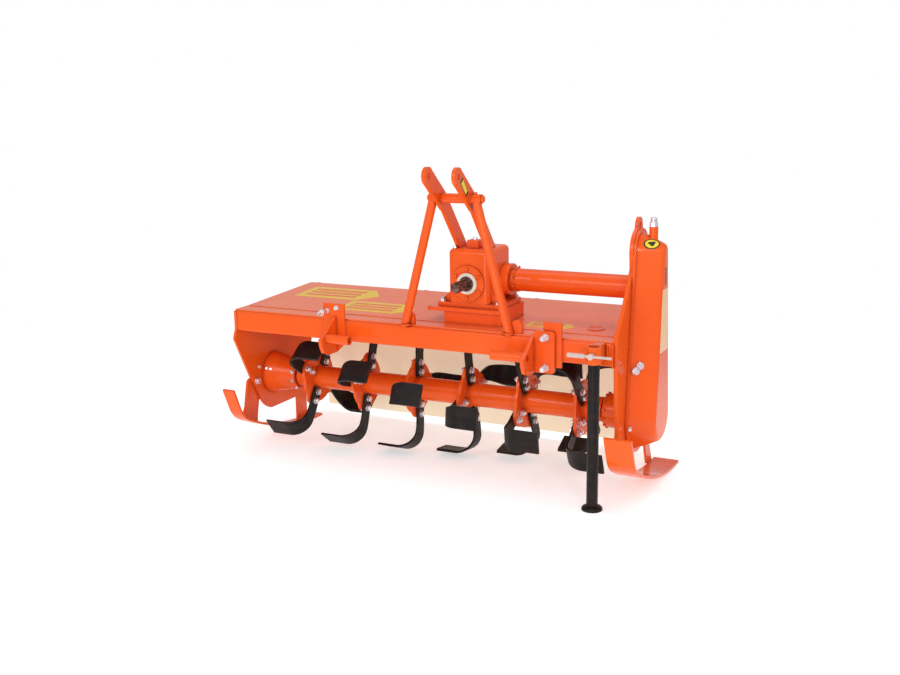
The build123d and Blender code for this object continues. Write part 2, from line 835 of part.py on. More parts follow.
for i, (station_x, root_angle) in enumerate(stations):
    centre = (station_x, 0, rotor_height)
    with BuildPart() as blades:
        for turn in (0, 180):
            right_root = root_direction(root_angle + turn)
            left_root = root_direction(root_angle + 90 + turn)
            with Locations(Plane(origin=centre, x_dir=right_root, z_dir=(1, 0, 0))):
                add(blade_right_hand)
            with Locations(Plane(origin=centre, x_dir=left_root, z_dir=(-1, 0, 0))):
                add(blade_left_hand)
    finish(blades, f"blades_{i + 1}")
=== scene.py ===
import json
from math import cos, radians, sin, tau

import bmesh
import bpy
from mathutils import Matrix, Vector
from mathutils.bvhtree import BVHTree


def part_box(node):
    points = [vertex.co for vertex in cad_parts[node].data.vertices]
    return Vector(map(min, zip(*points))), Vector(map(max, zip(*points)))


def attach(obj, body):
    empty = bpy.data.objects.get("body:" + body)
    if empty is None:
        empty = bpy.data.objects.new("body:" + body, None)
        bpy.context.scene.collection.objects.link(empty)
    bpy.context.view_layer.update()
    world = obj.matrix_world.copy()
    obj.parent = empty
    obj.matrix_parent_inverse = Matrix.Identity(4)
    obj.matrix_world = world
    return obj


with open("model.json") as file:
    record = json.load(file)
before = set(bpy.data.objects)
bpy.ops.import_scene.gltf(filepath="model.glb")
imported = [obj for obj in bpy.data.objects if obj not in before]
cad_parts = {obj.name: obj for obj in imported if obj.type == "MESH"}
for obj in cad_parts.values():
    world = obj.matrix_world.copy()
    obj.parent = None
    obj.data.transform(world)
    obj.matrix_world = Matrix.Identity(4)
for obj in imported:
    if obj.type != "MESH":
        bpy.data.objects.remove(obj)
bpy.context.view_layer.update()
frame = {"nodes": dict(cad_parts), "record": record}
print("frame loaded,", len(frame["nodes"]), "nodes")


# a node's output that takes part in Python expressions
class Value:
    def __init__(self, finish, output):
        self.finish = finish
        self.output = output

    def maths(self, operation, *values):
        return self.finish.node("ShaderNodeMath", {"operation": operation}, dict(enumerate(values)))

    def __add__(self, other):
        return self.maths("ADD", self, other)

    def __sub__(self, other):
        return self.maths("SUBTRACT", self, other)

    def __mul__(self, other):
        return self.maths("MULTIPLY", self, other)

    def __gt__(self, other):
        return self.maths("GREATER_THAN", self, other)

    def __lt__(self, other):
        return self.maths("LESS_THAN", self, other)

    def __radd__(self, other):
        return self.maths("ADD", other, self)

    def __rsub__(self, other):
        return self.maths("SUBTRACT", other, self)

    def __rmul__(self, other):
        return self.maths("MULTIPLY", other, self)


sensing = {
    "edge": (0.985, 0.90),  # likeness of the rounded and the flat normal: edge wear and painted edge highlight start, and are full
    "crease": (0.82, 0.30),  # openness: painted shade starts, painted shade is full
    "edgeSamples": 4,
    "creaseSamples": 6,
    "bumpDepth": 0.001,
}


# the nodes of one material, or of the world
class Finish:
    def __init__(self, holder):
        holder.use_nodes = True
        self.holder = holder
        self.tree = holder.node_tree
        self.tree.nodes.clear()

    def node(self, kind, settings, sockets, output=0):
        made = self.tree.nodes.new(kind)
        for key, setting in settings.items():
            if key == "stops":
                for element, (position, tint) in zip(made.color_ramp.elements, setting):
                    element.position = position
                    element.color = tint
            else:
                setattr(made, key, setting)
        for key, value in sockets.items():
            if isinstance(value, Value):
                self.tree.links.new(value.output, made.inputs[key])
            else:
                made.inputs[key].default_value = value
        return Value(self, made.outputs[output]) if made.outputs else None

    def place(self):
        return self.node("ShaderNodeTexCoord", {}, {}, "Object")

    def split(self):
        first = self.node("ShaderNodeSeparateXYZ", {}, {0: self.place()})
        return [Value(self, output) for output in first.output.node.outputs]

    def noise(self, scale, detail, stretch=(1, 1, 1)):
        where = self.node("ShaderNodeMapping", {}, {"Vector": self.place(), "Scale": stretch})
        sockets = {"Vector": where, "Scale": scale, "Detail": detail}
        return self.node("ShaderNodeTexNoise", {}, sockets)

    def ramp(self, value, low, high):
        stops = [(low, colour(0, 0, 0)), (high, colour(1, 1, 1))]
        ramped = self.node("ShaderNodeValToRGB", {"stops": stops}, {"Fac": value})
        return self.node("ShaderNodeRGBToBW", {}, {"Color": ramped})

    # grain: scale, detail and stretch of the noise; limits: where the patches start and are full
    def patches(self, grain, limits):
        return self.ramp(self.noise(*grain), *limits)

    # 0 where the value is first, 1 where it is last
    def span(self, value, first, last):
        limits = {"From Min": first, "From Max": last}
        return self.node("ShaderNodeMapRange", {}, {"Value": value, **limits})

    def mix(self, mask, first, second):
        sockets = {"Factor": mask, 6: first, 7: second}  # 6 and 7 are the mix node's two colours
        return self.node("ShaderNodeMix", {"data_type": "RGBA"}, sockets, 2)

    def rounded(self, radius):
        return self.node("ShaderNodeBevel", {"samples": sensing["edgeSamples"]}, {"Radius": radius})

    def bump(self, height, strength, normal=None):
        sockets = {"Height": height, "Strength": strength, "Distance": sensing["bumpDepth"]}
        if normal:
            sockets["Normal"] = normal
        return self.node("ShaderNodeBump", {}, sockets)

    # 1 along the edges of the form and 0 on its flats
    def edges(self, width):
        normals = {0: self.rounded(width), 1: self.node("ShaderNodeNewGeometry", {}, {}, "Normal")}
        likeness = self.node("ShaderNodeVectorMath", {"operation": "DOT_PRODUCT"}, normals, "Value")
        return self.span(likeness, *sensing["edge"])

    # 1 deep in corners and seams, 0 in the open: where shade is painted
    def creases(self, reach):
        settings = {"samples": sensing["creaseSamples"], "only_local": False}
        openness = self.node("ShaderNodeAmbientOcclusion", settings, {"Distance": reach}, 1)
        return self.span(openness, *sensing["crease"])

    def done(self, uniform, varying):
        shader = self.node("ShaderNodeBsdfPrincipled", {}, {**uniform, **varying})
        self.node("ShaderNodeOutputMaterial", {}, {"Surface": shader})
        return self.holder


def startFinish(name):
    return Finish(bpy.data.materials.new(name))


def colour(red, green, blue):
    return (red, green, blue, 1.0)


paintLook = {
    "deep": colour(0.83, 0.092, 0.008),
    "light": colour(0.88, 0.118, 0.011),
    "clouds": (2.6, 3.0),  # scale and detail, as for the other grains
    "cloudEdge": (0.30, 0.70),
    "worn": colour(0.90, 0.30, 0.12),
    "wearAndGlint": 0.35,
    "edgeWidth": 0.0020,
    "scuffs": (70.0, 4.0),
    "scuffEdge": (0.50, 0.66),
    "shade": colour(0.22, 0.018, 0.006),
    "paintedShade": 0.75,
    "creaseReach": 0.016,
    "edgeRadius": 0.0016,
    "peel": (380.0, 2.0),
    "peelDepth": 0.03,
    "roughness": 0.22,
    "smears": (22.0, 3.0),
    "smear": 0.10,
    "gloss": {"Coat Weight": 0.22, "Coat Roughness": 0.05, "Specular IOR Level": 0.16},
}


def orangeBody(finish, look):
    cloud = finish.patches(look["clouds"], look["cloudEdge"])
    base = finish.mix(cloud, look["deep"], look["light"])
    scuff = finish.patches(look["scuffs"], look["scuffEdge"])
    # worn paint, paler along the edges
    body = finish.mix(finish.edges(look["edgeWidth"]) * scuff * look["wearAndGlint"], base, look["worn"])
    # painted shade: the paint darkens in corners and seams, where shade falls
    return finish.mix(finish.creases(look["creaseReach"]) * look["paintedShade"], body, look["shade"])


def orangePaint(name, look, marks=()):
    finish = startFinish(name)
    body = orangeBody(finish, look)
    for mask, tint in marks:
        body = finish.mix(mask(finish), body, tint)
    peel = finish.noise(*look["peel"])
    bump = finish.bump(peel, look["peelDepth"], finish.rounded(look["edgeRadius"]))
    rough = look["roughness"] + finish.noise(*look["smears"]) * look["smear"]
    return finish.done(look["gloss"], {"Base Color": body, "Roughness": rough, "Normal": bump})


# the outer face of the gear case carries a pale panel with a slim slot near its top; the slot's
# shade is painted dark
panelLook = {
    "face": 0.7470,  # x beyond which the paint belongs to the outer face
    "left": (-0.046, -0.030),  # y of the left side at the bottom and at the top
    "right": (0.040, 0.028),
    "bottom": 0.446,
    "top": 0.642,
    "slot": (-0.014, 0.004, 0.655, 0.708),  # left, right, bottom, top
    "tint": colour(0.93, 0.55, 0.30),
    # painted shade of the slot
    "dark": colour(0.20, 0.02, 0.01),
}


def between(value, low, high):
    return (value > low) * (value < high)


def panelMask(finish):
    look = panelLook
    across, along, up = finish.split()
    climb = (up - look["bottom"]) * (1.0 / (look["top"] - look["bottom"]))
    left = climb * (look["left"][1] - look["left"][0]) + look["left"][0]
    right = climb * (look["right"][1] - look["right"][0]) + look["right"][0]
    inside = between(along, left, right) * between(up, look["bottom"], look["top"])
    return inside * (across > look["face"])


def slotShadeMask(finish):
    across, along, up = finish.split()
    left, right, bottom, top = panelLook["slot"]
    inside = between(along, left, right) * between(up, bottom, top)
    return inside * (across > panelLook["face"])


steelLook = {
    "dark": colour(0.010, 0.008, 0.008),
    "brown": colour(0.022, 0.014, 0.011),
    "blotches": (18.0, 5.0, (1, 1, 2)),  # scale, detail, stretch
    "blotchEdge": (0.42, 0.68),
    # colour of the edges: worn metal, and a painted highlight along them
    "edge": colour(0.34, 0.30, 0.27),
    "edgeWidth": 0.0014,
    "wearAndGlint": 0.7,
    "scuffs": (30.0, 3.0),
    "scuffEdge": (0.44, 0.60),
    "edgeRadius": 0.0012,
    "grain": (160.0, 4.0),
    "grainDepth": 0.10,
    "smears": (40.0, 3.0),
    "smear": 0.12,
    "specular": 0.16,
}


def blackSteel(name, look, roughness):
    finish = startFinish(name)
    blotch = finish.patches(look["blotches"], look["blotchEdge"])
    base = finish.mix(blotch, look["dark"], look["brown"])
    scuff = finish.patches(look["scuffs"], look["scuffEdge"])
    # the edges lighten: wear, and a painted highlight
    body = finish.mix(finish.edges(look["edgeWidth"]) * scuff * look["wearAndGlint"], base, look["edge"])
    grain = finish.noise(*look["grain"])
    bump = finish.bump(grain, look["grainDepth"], finish.rounded(look["edgeRadius"]))
    rough = roughness + finish.noise(*look["smears"]) * look["smear"]
    return finish.done(
        {"Specular IOR Level": look["specular"]},
        {"Base Color": body, "Roughness": rough, "Normal": bump},
    )


creamLook = {
    "deep": colour(0.93, 0.84, 0.60),
    "light": colour(0.97, 0.92, 0.74),
    "clouds": (5.0, 4.0),
    "cloudEdge": (0.35, 0.7),
    "peel": (300.0, 2.0),
    "peelDepth": 0.04,
    "roughness": 0.45,
    "specular": 0.3,
    # the board glows a little: painted light on its shaded inside
    "glow": colour(0.95, 0.86, 0.62),
    "paintedLightStrength": 0.22,
}


def creamPaint(name, look):
    finish = startFinish(name)
    cloud = finish.patches(look["clouds"], look["cloudEdge"])
    body = finish.mix(cloud, look["deep"], look["light"])
    bump = finish.bump(finish.noise(*look["peel"]), look["peelDepth"])
    uniform = {
        "Specular IOR Level": look["specular"],
        "Roughness": look["roughness"],
        # painted light: the board glows as if lit in its shade
        "Emission Color": look["glow"],
        "Emission Strength": look["paintedLightStrength"],
    }
    return finish.done(uniform, {"Base Color": body, "Normal": bump})


zincLook = {
    "first": colour(0.86, 0.84, 0.88),
    "second": colour(0.72, 0.62, 0.66),
    "clouds": (55.0, 3.0),
    "cloudEdge": (0.35, 0.65),
    "edgeRadius": 0.0005,
    "roughness": 0.20,
    "smears": (90.0, 3.0),
    "smear": 0.15,
    "metallic": 0.85,
}
shaftLook = {
    "first": colour(0.04, 0.018, 0.014),
    "second": colour(0.24, 0.12, 0.10),
    "clouds": (70.0, 5.0),
    "cloudEdge": (0.40, 0.62),
    "edgeRadius": 0.0008,
    "roughness": 0.30,
    "smears": (90.0, 4.0),
    "smear": 0.3,
    "metallic": 0.7,
}


def bareSteel(name, look):
    finish = startFinish(name)
    cloud = finish.patches(look["clouds"], look["cloudEdge"])
    body = finish.mix(cloud, look["first"], look["second"])
    rough = look["roughness"] + finish.noise(*look["smears"]) * look["smear"]
    normal = finish.rounded(look["edgeRadius"])
    return finish.done(
        {"Metallic": look["metallic"]}, {"Base Color": body, "Roughness": rough, "Normal": normal}
    )


plainLook = {"clouds": (40.0, 4.0), "cloudEdge": (0.3, 0.7), "shade": 0.86}


def plainFinish(name, tint, roughness):
    finish = startFinish(name)
    cloud = finish.patches(plainLook["clouds"], plainLook["cloudEdge"])
    shaded = colour(*(channel * plainLook["shade"] for channel in tint[:3]))
    return finish.done({}, {"Base Color": finish.mix(cloud, shaded, tint), "Roughness": roughness})


finishes = {
    "orange_paint": orangePaint("orangePaint", paintLook),
    "cream_paint": creamPaint("creamPaint", creamLook),
    "black_paint": blackSteel("blackPaint", steelLook, 0.30),
    "blade_steel": blackSteel("bladeSteel", steelLook, 0.38),
    "zinc_steel": bareSteel("zincSteel", zincLook),
    "shaft_steel": bareSteel("shaftSteel", shaftLook),
    "pale_seal": plainFinish("paleSeal", colour(0.86, 0.78, 0.66), 0.55),
}


def dress(name, material):
    frame["nodes"][name].data.materials[0] = material


for part in frame["record"]["subparts"]:
    dress(part["node"], finishes[part["material_slot"]])

# the slot is painted dark: painted shade in its recess
casePanel = ((panelMask, panelLook["tint"]), (slotShadeMask, panelLook["dark"]))
# the deck's paint is a lighter copy of the orange: painted sheen of the light on its top
litDeckLook = {**paintLook, "deep": colour(0.86, 0.130, 0.030), "light": colour(0.92, 0.190, 0.060)}
dress("stand_clamp", plainFinish("clampSteel", colour(0.62, 0.50, 0.44), 0.35))
dress("gear_case", orangePaint("casePaint", paintLook, casePanel))
dress("deck_sheet", orangePaint("litDeckPaint", litDeckLook))
stickerYellow = plainFinish("stickerYellow", colour(0.93, 0.72, 0.03), 0.4)
stickerInk = plainFinish("stickerInk", colour(0.02, 0.018, 0.012), 0.5)
stickerDeck = plainFinish("stickerDeck", colour(0.90, 0.58, 0.03), 0.4)
print("finishes on")

toRight, toLeft = (1, 0, 0), (-1, 0, 0)
toBack, toFront = (0, 1, 0), (0, -1, 0)
toTop, toGround = (0, 0, 1), (0, 0, -1)

perMetre = 1000  # the small forms are written in millimetres
sharpAngle = 35.0

# shares of the width across the flats
boltForm = {
    "corner": 0.577,
    "washer": 0.62,
    "washerHeight": 0.09,
    "washerEdge": (0.95, 0.7),  # shares of its radius and height where its edge is broken
    "head": 0.44,
    "headEdge": (0.86, 0.84),
    "nutTop": 0.50,
    "thread": 0.31,
}
threadForm = {"turns": 5, "pitch": 1.2, "root": 0.9, "end": 0.8, "length": 6.4}
beadForm = {
    "step": 2.2,
    "sides": 8,
    "ripple": (0.14, 1.9),  # share of the radius, then the turn from ring to ring
    "drift": (0.05, 0.7),
    "lean": (0.31, 0.42, 0.85),  # a direction that no bead runs along
}
# rings of a sticker from its middle out: share of the outline, share of the height
stickerRings = [(k / 9, 1) for k in range(9)] + [(0.98, 1), (1.0, 0.6), (1.0, -0.5), (0, -0.5)]


# a frame at place whose z runs along the direction
def standing(place, along):
    upright = Vector(along).to_track_quat("Z", "Y").to_matrix().to_4x4()
    return Matrix.Translation(Vector(place)) @ upright


# small forms, gathered into one mesh a piece
class Shape:
    def __init__(self):
        self.mesh = bmesh.new()

    def ring(self, places):
        return [self.mesh.verts.new(place) for place in places]

    # joins neighbouring rings with faces; a ring of one point closes the form
    def join(self, rings):
        for lower, upper in zip(rings, rings[1:]):
            sides = max(len(lower), len(upper))
            for i in range(sides):
                j = (i + 1) % sides
                corners = (
                    lower[i % len(lower)],
                    lower[j % len(lower)],
                    upper[j % len(upper)],
                    upper[i % len(upper)],
                )
                corners = list(dict.fromkeys(corners))
                if len(corners) > 2:
                    self.mesh.faces.new(corners)

    # profile: radius and height pairs along the axis
    def turned(self, place, along, profile, sides=24, turn=0.0):
        stand = standing(place, along)
        rings = []
        for radius, height in profile:
            steps = sides if radius else 1
            angles = [turn + tau * i / steps for i in range(steps)]
            places = [Vector((radius * cos(a), radius * sin(a), height)) for a in angles]
            rings.append(self.ring(stand @ place for place in places))
        self.join(rings)

    # across: width across the flats; turn: how the head's corners stand
    def bolt(self, place, along, across, turn=0.3):
        corner = across * boltForm["corner"]
        washer = across * boltForm["washer"]
        base = across * boltForm["washerHeight"]
        top = base + across * boltForm["head"]
        inner, lower = boltForm["washerEdge"]
        disc = ((0, -1), (washer, -1), (washer, base * lower), (washer * inner, base), (0, base))
        inner, lower = boltForm["headEdge"]
        head = ((0, base), (corner, base), (corner, top * lower), (corner * inner, top), (0, top))
        self.turned(place, along, disc)
        self.turned(place, along, head, sides=6, turn=turn)

    def nut(self, place, along, across, turn=0.3):
        self.bolt(place, along, across, turn)
        bottom = across * boltForm["nutTop"]
        crest = across * boltForm["thread"]
        profile = [(0, bottom)]
        for i in range(threadForm["turns"]):
            rise = bottom + i * threadForm["pitch"]
            profile += [(crest, rise), (crest * threadForm["root"], rise + threadForm["pitch"] / 2)]
        end = bottom + threadForm["length"]
        profile += [(crest * threadForm["end"], end), (0, end)]
        self.turned(place, along, profile, sides=16)

    # a rippled weld bead along the points
    def bead(self, points, radius, closed=False):
        (ripple, rippleTurn), (drift, driftTurn) = beadForm["ripple"], beadForm["drift"]
        sides = beadForm["sides"]
        angles = [tau * k / sides for k in range(sides)]
        rings = []
        count = len(points)
        for i, point in enumerate(points):
            ahead = points[(i + 1) % count] if closed else points[min(i + 1, count - 1)]
            behind = points[i - 1] if closed or i else points[0]
            forward = (ahead - behind).normalized()
            side = forward.cross(Vector(beadForm["lean"])).normalized()
            rise = side.cross(forward)
            size = radius * (1.0 + ripple * sin(i * rippleTurn) + drift * sin(i * driftTurn))
            rings.append(self.ring(point + (side * cos(a) + rise * sin(a)) * size for a in angles))
        if closed:
            self.join(rings + rings[:1])
        else:
            self.join([self.ring(points[:1])] + rings + [self.ring(points[-1:])])

    # a weld bead all round a tube
    def collar(self, centre, along, tubeRadius, radius):
        self.bead(loop(centre, along, tubeRadius), radius, True)

    # a thin sticker, cast on to a node's surface from the outline's points
    def laid(self, name, outline, along, scale, height):
        middle = sum(outline, Vector()) / len(outline)
        rings = []
        for share, lift in stickerRings:
            places = []
            for point in outline if share else outline[:1]:
                place, normal = seat(name, middle + (point - middle) * share * scale, along)
                places.append(place + normal * height * lift)
            rings.append(self.ring(places))
        self.join(rings)

    # the slot's own finish, where no other is given
    def finish(self, name, body, slot, material=None):
        bmesh.ops.scale(self.mesh, vec=[1 / perMetre] * 3, verts=self.mesh.verts)
        bmesh.ops.recalc_face_normals(self.mesh, faces=self.mesh.faces)
        data = bpy.data.meshes.new(name)
        self.mesh.to_mesh(data)
        self.mesh.free()
        for polygon in data.polygons:
            polygon.use_smooth = True
        data.set_sharp_from_angle(angle=radians(sharpAngle))
        data.materials.append(material or finishes[slot])
        piece = bpy.data.objects.new(name, data)
        bpy.context.collection.objects.link(piece)
        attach(piece, body)


trees = {}


# where a line from start meets a node's surface, and the surface's normal there
def seat(name, start, along):
    if name not in trees:
        node = frame["nodes"][name]
        corners = [node.matrix_world @ corner.co * perMetre for corner in node.data.vertices]
        trees[name] = BVHTree.FromPolygons(corners, [p.vertices for p in node.data.polygons])
    place, normal, _, _ = trees[name].ray_cast(Vector(start), Vector(along).normalized())
    if place is None:
        raise ValueError(f"{name} is not met from {tuple(start)}")
    return place, normal


# the low and the high corner of a node's box
def ends(name):
    low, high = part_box(name)
    return Vector(low) * perMetre, Vector(high) * perMetre


def line(first, last):
    first, last = Vector(first), Vector(last)
    count = max(3, int((last - first).length / beadForm["step"]))
    return [first.lerp(last, i / count) for i in range(count + 1)]


def loop(centre, along, radius):
    stand = standing(centre, along)
    count = int(radius * tau / beadForm["step"])
    angles = [tau * i / count for i in range(count)]
    return [stand @ Vector((radius * cos(a), radius * sin(a), 0)) for a in angles]


# points along the sides of a closed outline
def alongSides(corners, steps):
    points = []
    for first, last in zip(corners, corners[1:] + corners[:1]):
        points += [Vector(first).lerp(Vector(last), k / steps) for k in range(steps)]
    return points


tubeLow, tubeHigh = ends("rotor_tube")
axisHeight = (tubeLow.z + tubeHigh.z) / 2
beamLow, beamHigh = ends("front_beam")
hubHigh = ends("left_bearing_hub")[1]
overDeck = 800  # a height above the deck and the beam, to cast down from
overGearbox = 900
inFront = -600  # a y in front of the brackets, to cast back from
outsideHub = 120  # a radius outside the bearings, to cast in from


# a direction square to the rotor's axis: 0 points forward and 90 up
def spoke(angle):
    return Vector((0, -cos(radians(angle)), sin(radians(angle))))


# where a bearing's round surface lies, at an x and an angle round the axis
def seatRound(name, x, angle):
    out = spoke(angle)
    return seat(name, Vector((x, 0, axisHeight)) + out * outsideHub, -out)


# two bolts hold each blade on its flange
bladeBolts = {
    "radii": (58.0, 92.0),
    "across": 19.0,
    "blade": 13.0,  # outer face of a blade, from the middle of its flange
    "flange": 5.0,
    "firstAngle": 31.0,
    "stationTurn": -15.0,
    "headTurn": 0.4,
}
stations = []
for i in range(6):
    low, high = ends(f"blades_{i + 1}")
    firstAngle = bladeBolts["firstAngle"] + i * bladeBolts["stationTurn"]
    stations.append(((low.x + high.x) / 2, firstAngle))
bolts = Shape()
for station, firstAngle in stations:
    for quarter in range(4):
        side = -1 if quarter % 2 == 0 else 1
        away = Vector((side, 0, 0))
        out = spoke(firstAngle - 90 * quarter)
        for radius in bladeBolts["radii"]:
            centre = Vector((station, 0, axisHeight)) + out * radius
            turn = bladeBolts["headTurn"] * quarter + radius
            bolts.bolt(centre + away * bladeBolts["blade"], away, bladeBolts["across"], turn)
            bolts.nut(centre - away * bladeBolts["flange"], -away, bladeBolts["across"], turn)
bolts.finish("bladeBolts", "rotor", "zinc_steel")

# weld beads where the flanges meet the tube
rotorBeads = {"radius": 3.2, "away": 6.0, "tubeRadius": 41.0}
beads = Shape()
for station, _ in stations:
    for side in (-1, 1):
        centre = (station + side * rotorBeads["away"], 0, axisHeight)
        beads.collar(centre, toRight, rotorBeads["tubeRadius"], rotorBeads["radius"])
beads.finish("rotorBeads", "rotor", "orange_paint")
print("rotor dressed")

# bolts of the left bearing: inside its plate, round its hub, and outside round its cap
bearingBolts = {
    "plateX": -718,
    "plate": ((-109, -10, 22.0), (-93, 40, 13.0)),  # y, height over the axis, width
    "neckX": (-702, -687),
    "neckAngles": (22, 202),
    "neckAcross": 8.0,
    "hubInset": 9.0,
    "hubAngles": (22, -16, 110, 200, 290),
    "hubAcross": 12.0,
    "capRadius": 69,
    "capAngles": range(30, 390, 60),
    "capAcross": 13.0,
}
bolts = Shape()
for y, above, across in bearingBolts["plate"]:
    bolts.bolt((bearingBolts["plateX"], y, axisHeight + above), toRight, across)
for angle in bearingBolts["neckAngles"]:
    for x in bearingBolts["neckX"]:
        place, normal = seatRound("left_bearing_hub", x, angle)
        bolts.bolt(place, normal, bearingBolts["neckAcross"], angle)
for angle in bearingBolts["hubAngles"]:
    place = seatRound("left_bearing_hub", hubHigh.x - bearingBolts["hubInset"], angle)[0]
    bolts.bolt(place, spoke(angle), bearingBolts["hubAcross"], angle)
plateFace = ends("left_side_plate")[0].x
for angle in bearingBolts["capAngles"]:
    place = Vector((plateFace, 0, axisHeight)) + spoke(180 - angle) * bearingBolts["capRadius"]
    bolts.bolt(place, toLeft, bearingBolts["capAcross"], angle)

# the ring of bolts round the right boss, and the bead at its foot
bossBolts = {
    "inset": 8,
    "angles": range(15, 375, 30),
    "across": 9.0,
    "bead": 3.0,
    "beadInset": 3,
    "beadRound": 62.5,
}
ring = Shape()
bossLow, bossHigh = ends("right_bearing_boss")
for angle in bossBolts["angles"]:
    place = seatRound("right_bearing_boss", bossLow.x + bossBolts["inset"], angle)[0]
    ring.bolt(place, spoke(angle), bossBolts["across"], angle)
centre = (bossHigh.x - bossBolts["beadInset"], 0, axisHeight)
ring.collar(centre, toRight, bossBolts["beadRound"], bossBolts["bead"])
ring.finish("bossRing", "frame", "orange_paint")
bolts.finish("bearingBolts", "frame", "zinc_steel")
print("bearings dressed")

# the gear case: two plugs on its front wall, and a bolt low down
casePlugs = {
    "plugs": ((697, 176), (686, 160)),  # x, height over the axis
    "rim": ((0, -2), (12.5, -2), (12.5, 3), (11.0, 4.5), (0, 4.5)),
    "head": 15.0,
    "headRise": 4,
    "bolt": (676, -21),
    "across": 12.0,
    "inFront": -300,
}
plugs = Shape()
for x, above in casePlugs["plugs"]:
    place, normal = seat("gear_case", (x, casePlugs["inFront"], axisHeight + above), toBack)
    plugs.turned(place, normal, casePlugs["rim"], sides=32)
    plugs.bolt(place + normal * casePlugs["headRise"], normal, casePlugs["head"])
x, above = casePlugs["bolt"]
place, normal = seat("gear_case", (x, casePlugs["inFront"], axisHeight + above), toBack)
plugs.bolt(place, normal, casePlugs["across"])
plugs.finish("casePlugs", "frame", "zinc_steel")

# an oval sticker on the gear case, with a plain three-lobed spot
caseSticker = {
    "middle": (709.6, -28.7, 546.1),  # x, y and height over the axis
    "away": 30,  # how far outside the case the outline is cast from
    "long": (0.787, 0.616, -0.02),
    "normal": (0.42, -0.607, 0.674),
    "halfLength": 26.0,
    "halfHeight": 17.0,
    "inner": 0.82,
    "spot": 0.42,
    "lobe": 0.10,
    "heights": (0.3, 0.7, 1.1),  # rim, face, spot
}
facing = Vector(caseSticker["normal"]).normalized()
lengthwise = Vector(caseSticker["long"]).normalized()
upward = facing.cross(lengthwise)
centre = Vector(caseSticker["middle"]) + Vector((0, 0, axisHeight)) + facing * caseSticker["away"]


def ovalOutline(reach, lobe=0.0, count=40):
    points = []
    for i in range(count):
        angle = tau * i / count
        size = reach + lobe * sin(3 * angle)
        points.append(
            centre
            + lengthwise * caseSticker["halfLength"] * size * cos(angle)
            + upward * caseSticker["halfHeight"] * size * sin(angle)
        )
    return points


oval = ovalOutline(1.0)
spot = ovalOutline(caseSticker["spot"], caseSticker["lobe"])
rimHeight, faceHeight, spotHeight = caseSticker["heights"]
for name, outline, scale, height, slot, material in (
    ("caseStickerEdge", oval, 1.0, rimHeight, "black_paint", stickerInk),
    ("caseSticker", oval, caseSticker["inner"], faceHeight, "cream_paint", stickerYellow),
    ("caseEmblem", spot, 1.0, spotHeight, "black_paint", stickerInk),
):
    layer = Shape()
    layer.laid("gear_case", outline, -facing, scale, height)
    layer.finish(name, "frame", slot, material)
print("gear case dressed")

# stickers on the deck, each a bar whose right end is pointed, with three plain stripes
deckStickers = {
    "bars": (
        # left, right, front, back
        (-655.0, -340.0, 60.0, 215.0),
        (-395.0, -118.0, -78.0, 50.0),
        (322.0, 476.0, -92.0, -26.0),
    ),
    "point": 0.35,  # share of the bar's depth
    "height": 0.5,
    "stripes": (0.25, 0.5, 0.75),  # shares of the bar's depth
    "stripeHalf": 0.07,
    "stripeInset": (0.08, 0.24),  # shares of the bar's length, at the left and at the right
    "stripeHeight": 0.8,
    "steps": 8,
}
stickers = Shape()
stripes = Shape()


def layBar(shape, corners, height):
    outline = alongSides([(x, y, overDeck) for x, y in corners], deckStickers["steps"])
    shape.laid("deck_sheet", outline, toGround, 1.0, height)


for left, right, front, back in deckStickers["bars"]:
    length, depth = right - left, back - front
    shoulder = right - depth * deckStickers["point"]
    tip = (right, (front + back) / 2)
    bar = ((left, front), (shoulder, front), tip, (shoulder, back), (left, back))
    layBar(stickers, bar, deckStickers["height"])
    first = left + length * deckStickers["stripeInset"][0]
    last = right - length * deckStickers["stripeInset"][1]
    half = depth * deckStickers["stripeHalf"]
    for share in deckStickers["stripes"]:
        low, high = front + depth * share - half, front + depth * share + half
        stripe = ((first, low), (last, low), (last, high), (first, high))
        layBar(stripes, stripe, deckStickers["stripeHeight"])
stickers.finish("deckStickers", "frame", "cream_paint", stickerDeck)

# a flat plug in the deck, near the gear case
deckPlug = {
    "place": (546.0, -57.0, overDeck),
    "profile": ((0, -1), (27, -1), (27, 1.6), (23, 2.6), (21, 1.2), (0, 1.2)),
}
plug = Shape()
place, normal = seat("deck_sheet", deckPlug["place"], toGround)
plug.turned(place, normal, deckPlug["profile"], sides=40)
plug.finish("deckPlug", "frame", "orange_paint")
stripes.finish("deckStripes", "frame", "orange_paint")
print("deck dressed")

# weld beads of the body
bodyBeads = {
    "proud": 1,  # how far a bead's middle stands out of its corner
    "fold": 1.9,  # radius of the bead along the deck's fold, as for the others
    "foldEnds": (12, 8),
    "foldIn": 2,
    "foldStep": 4,
    "plate": 3.0,
    "bracket": 3.0,
    "bracketInset": 3,
    "strut": 2.8,
    "strutRound": 15.5,
    "strutRise": 5,
    "strutFeet": ((-46.0, -206), (312.0, -206)),
    "cross": 2.6,
    "crossRound": 16.0,
    "crossIn": 15,
    "crossX": (82.0, 196.0),
    "socket": 2.6,
    "socketInset": 5,
    "socketSide": 3.2,
    "socketHalf": 21,
    "socketHeights": (4, 46),  # over the socket's lower end
}
deckLow, deckHigh = ends("deck_sheet")
socketLow, socketHigh = ends("stand_socket")
crossLow, crossHigh = ends("mast_cross_tube")
crossHeight = (crossLow.z + crossHigh.z) / 2
proud = bodyBeads["proud"]
seams = Shape()


# a straight bead on the front face of the beam, from one x and z to another
def frontBead(first, last, radius):
    y = beamLow.y - proud
    seams.bead(line((first[0], y, first[1]), (last[0], y, last[1])), radius)


